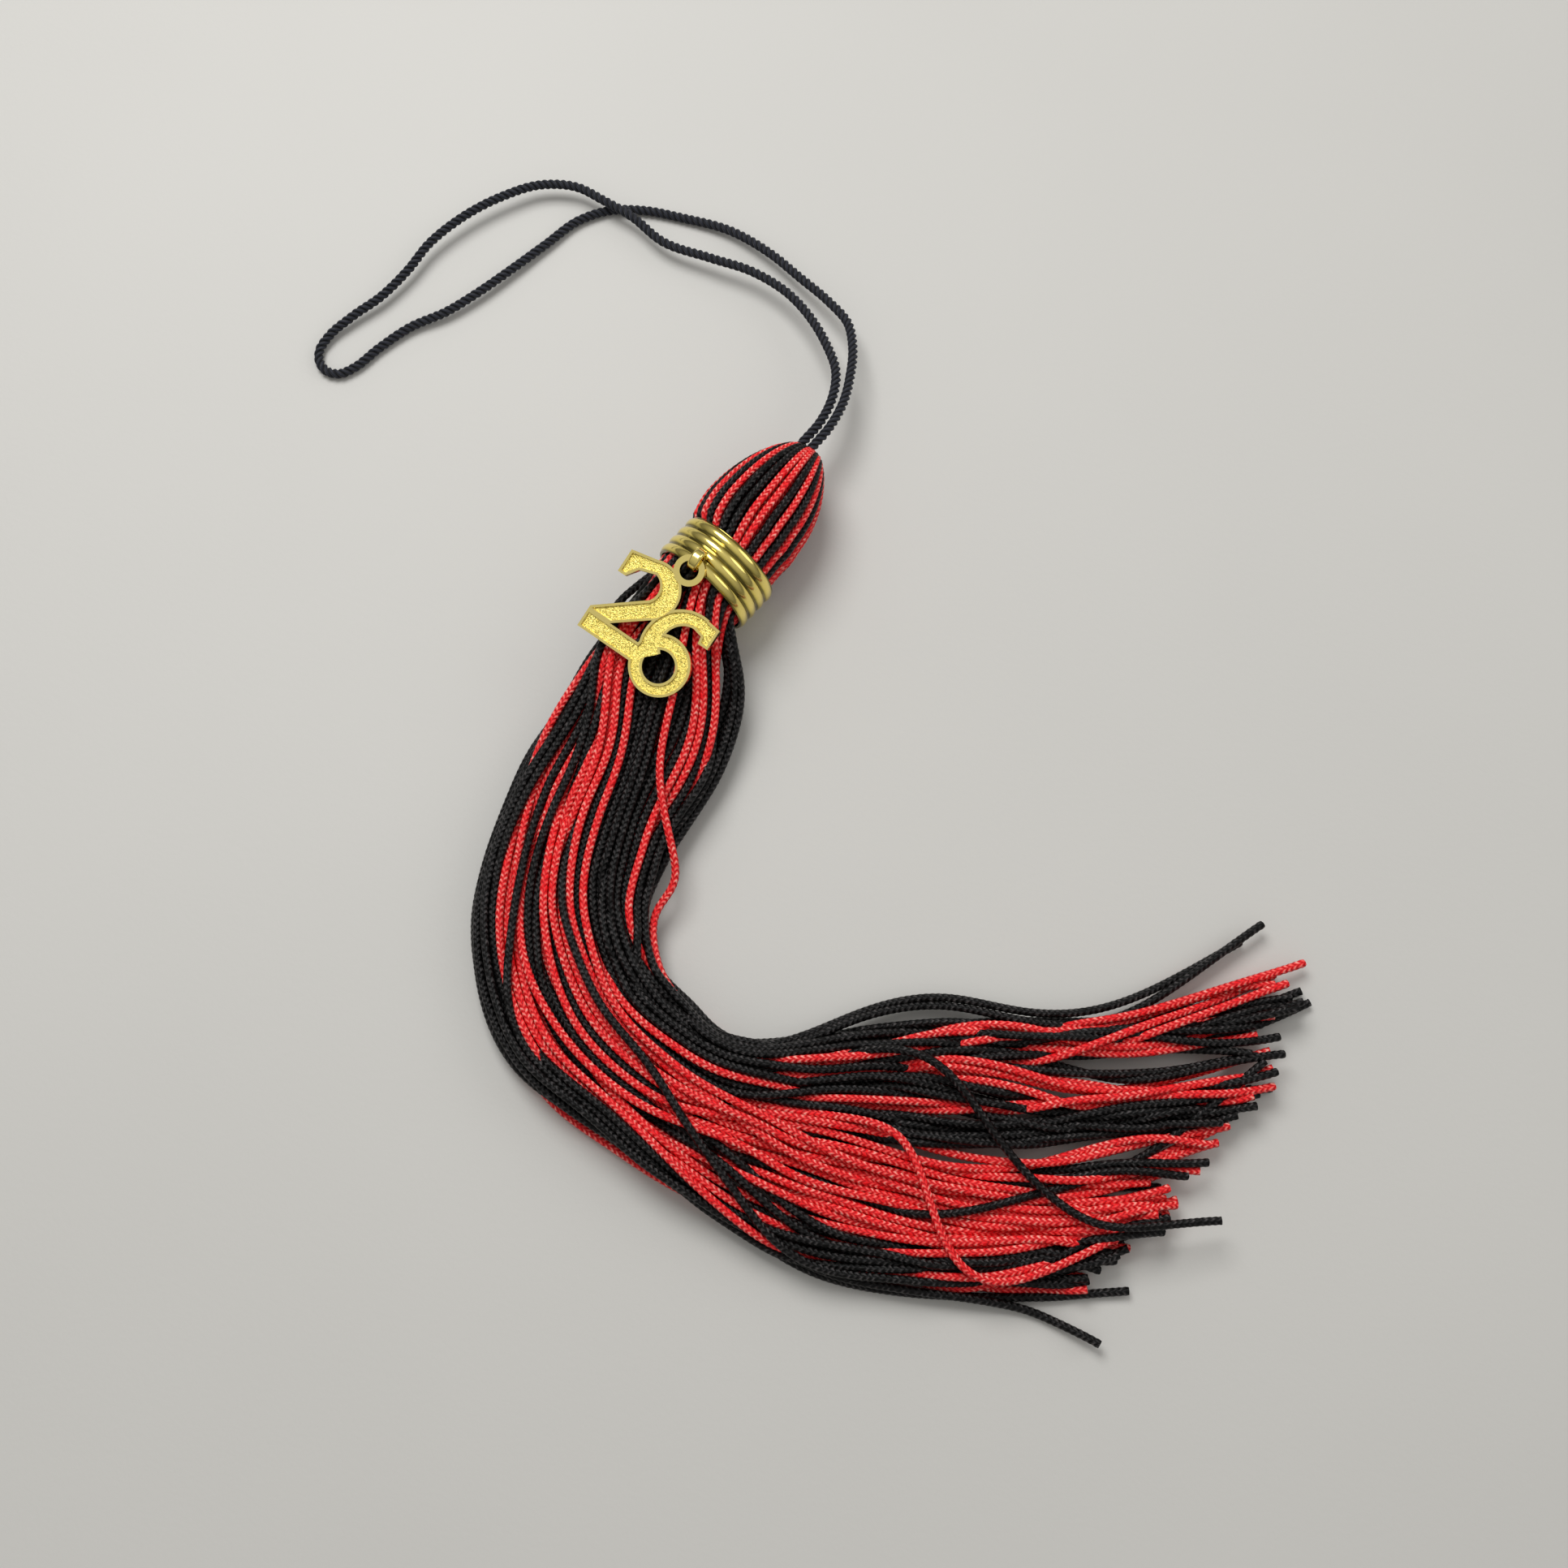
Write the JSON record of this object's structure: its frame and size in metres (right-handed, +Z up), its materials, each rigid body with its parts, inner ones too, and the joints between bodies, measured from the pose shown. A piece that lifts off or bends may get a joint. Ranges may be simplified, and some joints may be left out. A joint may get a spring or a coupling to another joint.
{
  "type": "graduation tassel",
  "caption": "Tassel of black and red knitted cords folded over a knotted hanging loop, gripped by a ribbed gold band that carries a swinging plain numeral charm.",
  "frame": {"origin": "on the surface that the tassel lies on, under the skein's neck where the band grips it", "axes": "+Z up, +Y along the neck towards the head and the hanging loop, +X the side to which the cords' free ends bend"},
  "size_m": [0.212, 0.1556, 0.0224],
  "materials": {
    "black_cord": "matte knitted cord with a slight sheen",
    "red_cord": "bright knitted cord with a slight sheen",
    "loop_cord": "hard twisted three-ply cord, blue-black",
    "band_metal": "polished pale gold plating on ribbed sheet",
    "charm_metal": "gold plating, stippled sunk face and bright rims"
  },
  "bodies": {
    "tassel": {"band": "band_metal", "loop_knot": "loop_cord", "hanging_loop": "loop_cord", "black_cord_01": "black_cord", "black_cord_02": "black_cord", "black_cord_03": "black_cord", "black_cord_04": "black_cord", "black_cord_05": "black_cord", "black_cord_06": "black_cord", "black_cord_07": "black_cord", "black_cord_08": "black_cord", "black_cord_09": "black_cord", "black_cord_10": "black_cord", "black_cord_11": "black_cord", "black_cord_12": "black_cord", "black_cord_13": "black_cord", "black_cord_14": "black_cord", "black_cord_15": "black_cord", "black_cord_16": "black_cord", "black_cord_17": "black_cord", "black_cord_18": "black_cord", "black_cord_19": "black_cord", "black_cord_20": "black_cord", "black_cord_21": "black_cord", "black_cord_22": "black_cord", "black_cord_23": "black_cord", "black_cord_24": "black_cord", "black_cord_25": "black_cord", "red_cord_01": "red_cord", "red_cord_02": "red_cord", "red_cord_03": "red_cord", "red_cord_04": "red_cord", "red_cord_05": "red_cord", "red_cord_06": "red_cord", "red_cord_07": "red_cord", "red_cord_08": "red_cord", "red_cord_09": "red_cord", "red_cord_10": "red_cord", "red_cord_11": "red_cord", "red_cord_12": "red_cord", "red_cord_13": "red_cord", "red_cord_14": "red_cord", "red_cord_15": "red_cord", "red_cord_16": "red_cord", "red_cord_17": "red_cord", "red_cord_18": "red_cord", "red_cord_19": "red_cord"},
    "charm": {"charm": "charm_metal"}
  },
  "joints": [
    {"name": "charm_swing", "type": "hinge", "parent": "tassel", "child": "charm", "pos_m": [-0.00142, -0.00403, 0.02033], "axis": [-0.9969, 0.0785, 0], "range_deg": [0, 190]}
  ]
}
